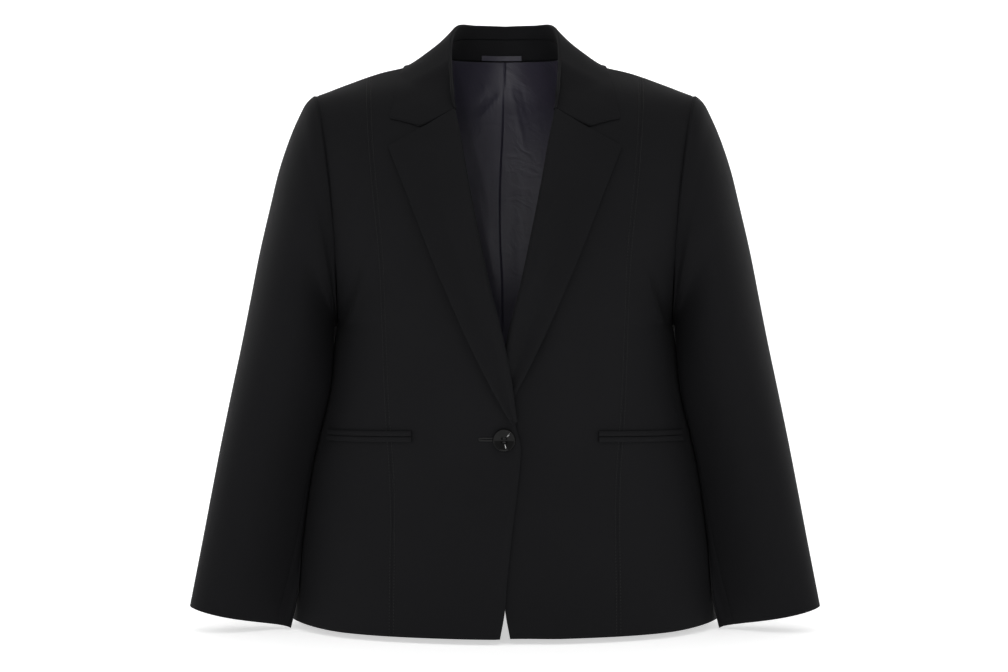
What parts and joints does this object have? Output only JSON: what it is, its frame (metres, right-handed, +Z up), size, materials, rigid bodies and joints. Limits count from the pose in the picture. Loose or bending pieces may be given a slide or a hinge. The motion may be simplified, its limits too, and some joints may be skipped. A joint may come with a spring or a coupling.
{
  "type": "single-breasted blazer",
  "caption": "Black single-breasted blazer with notched lapels, a front button, slit hip pockets with narrow welts and a grey satin back lining, shown worn and hollow.",
  "frame": {"origin": "middle of the shoulders on the centre line, level with the shoulder seams' mean height between neck and sleeve and over the front of the neck", "axes": "+Z up along the wearer's back, -Y out of the chest towards the front, +X towards the wearer's left sleeve"},
  "size_m": [0.6946, 0.3074, 0.6798],
  "materials": {
    "black_suiting": "matte",
    "grey_satin": "satin",
    "black_gloss": "gloss"
  },
  "bodies": {
    "root": {"back_left": "black_suiting", "back_right": "black_suiting", "button": "black_gloss", "collar": "black_suiting", "collar_stand": "black_suiting", "front_left": "black_suiting", "front_right": "black_suiting", "hanger_loop": "grey_satin", "lapel_left": "black_suiting", "lapel_right": "black_suiting", "lining_back": "grey_satin", "pocket_jet_lower_left": "black_suiting", "pocket_jet_lower_right": "black_suiting", "pocket_jet_upper_left": "black_suiting", "pocket_jet_upper_right": "black_suiting", "side_front_left": "black_suiting", "side_front_right": "black_suiting", "sleeve_top_left": "black_suiting", "sleeve_top_right": "black_suiting", "sleeve_under_left": "black_suiting", "sleeve_under_right": "black_suiting"}
  },
  "joints": []
}
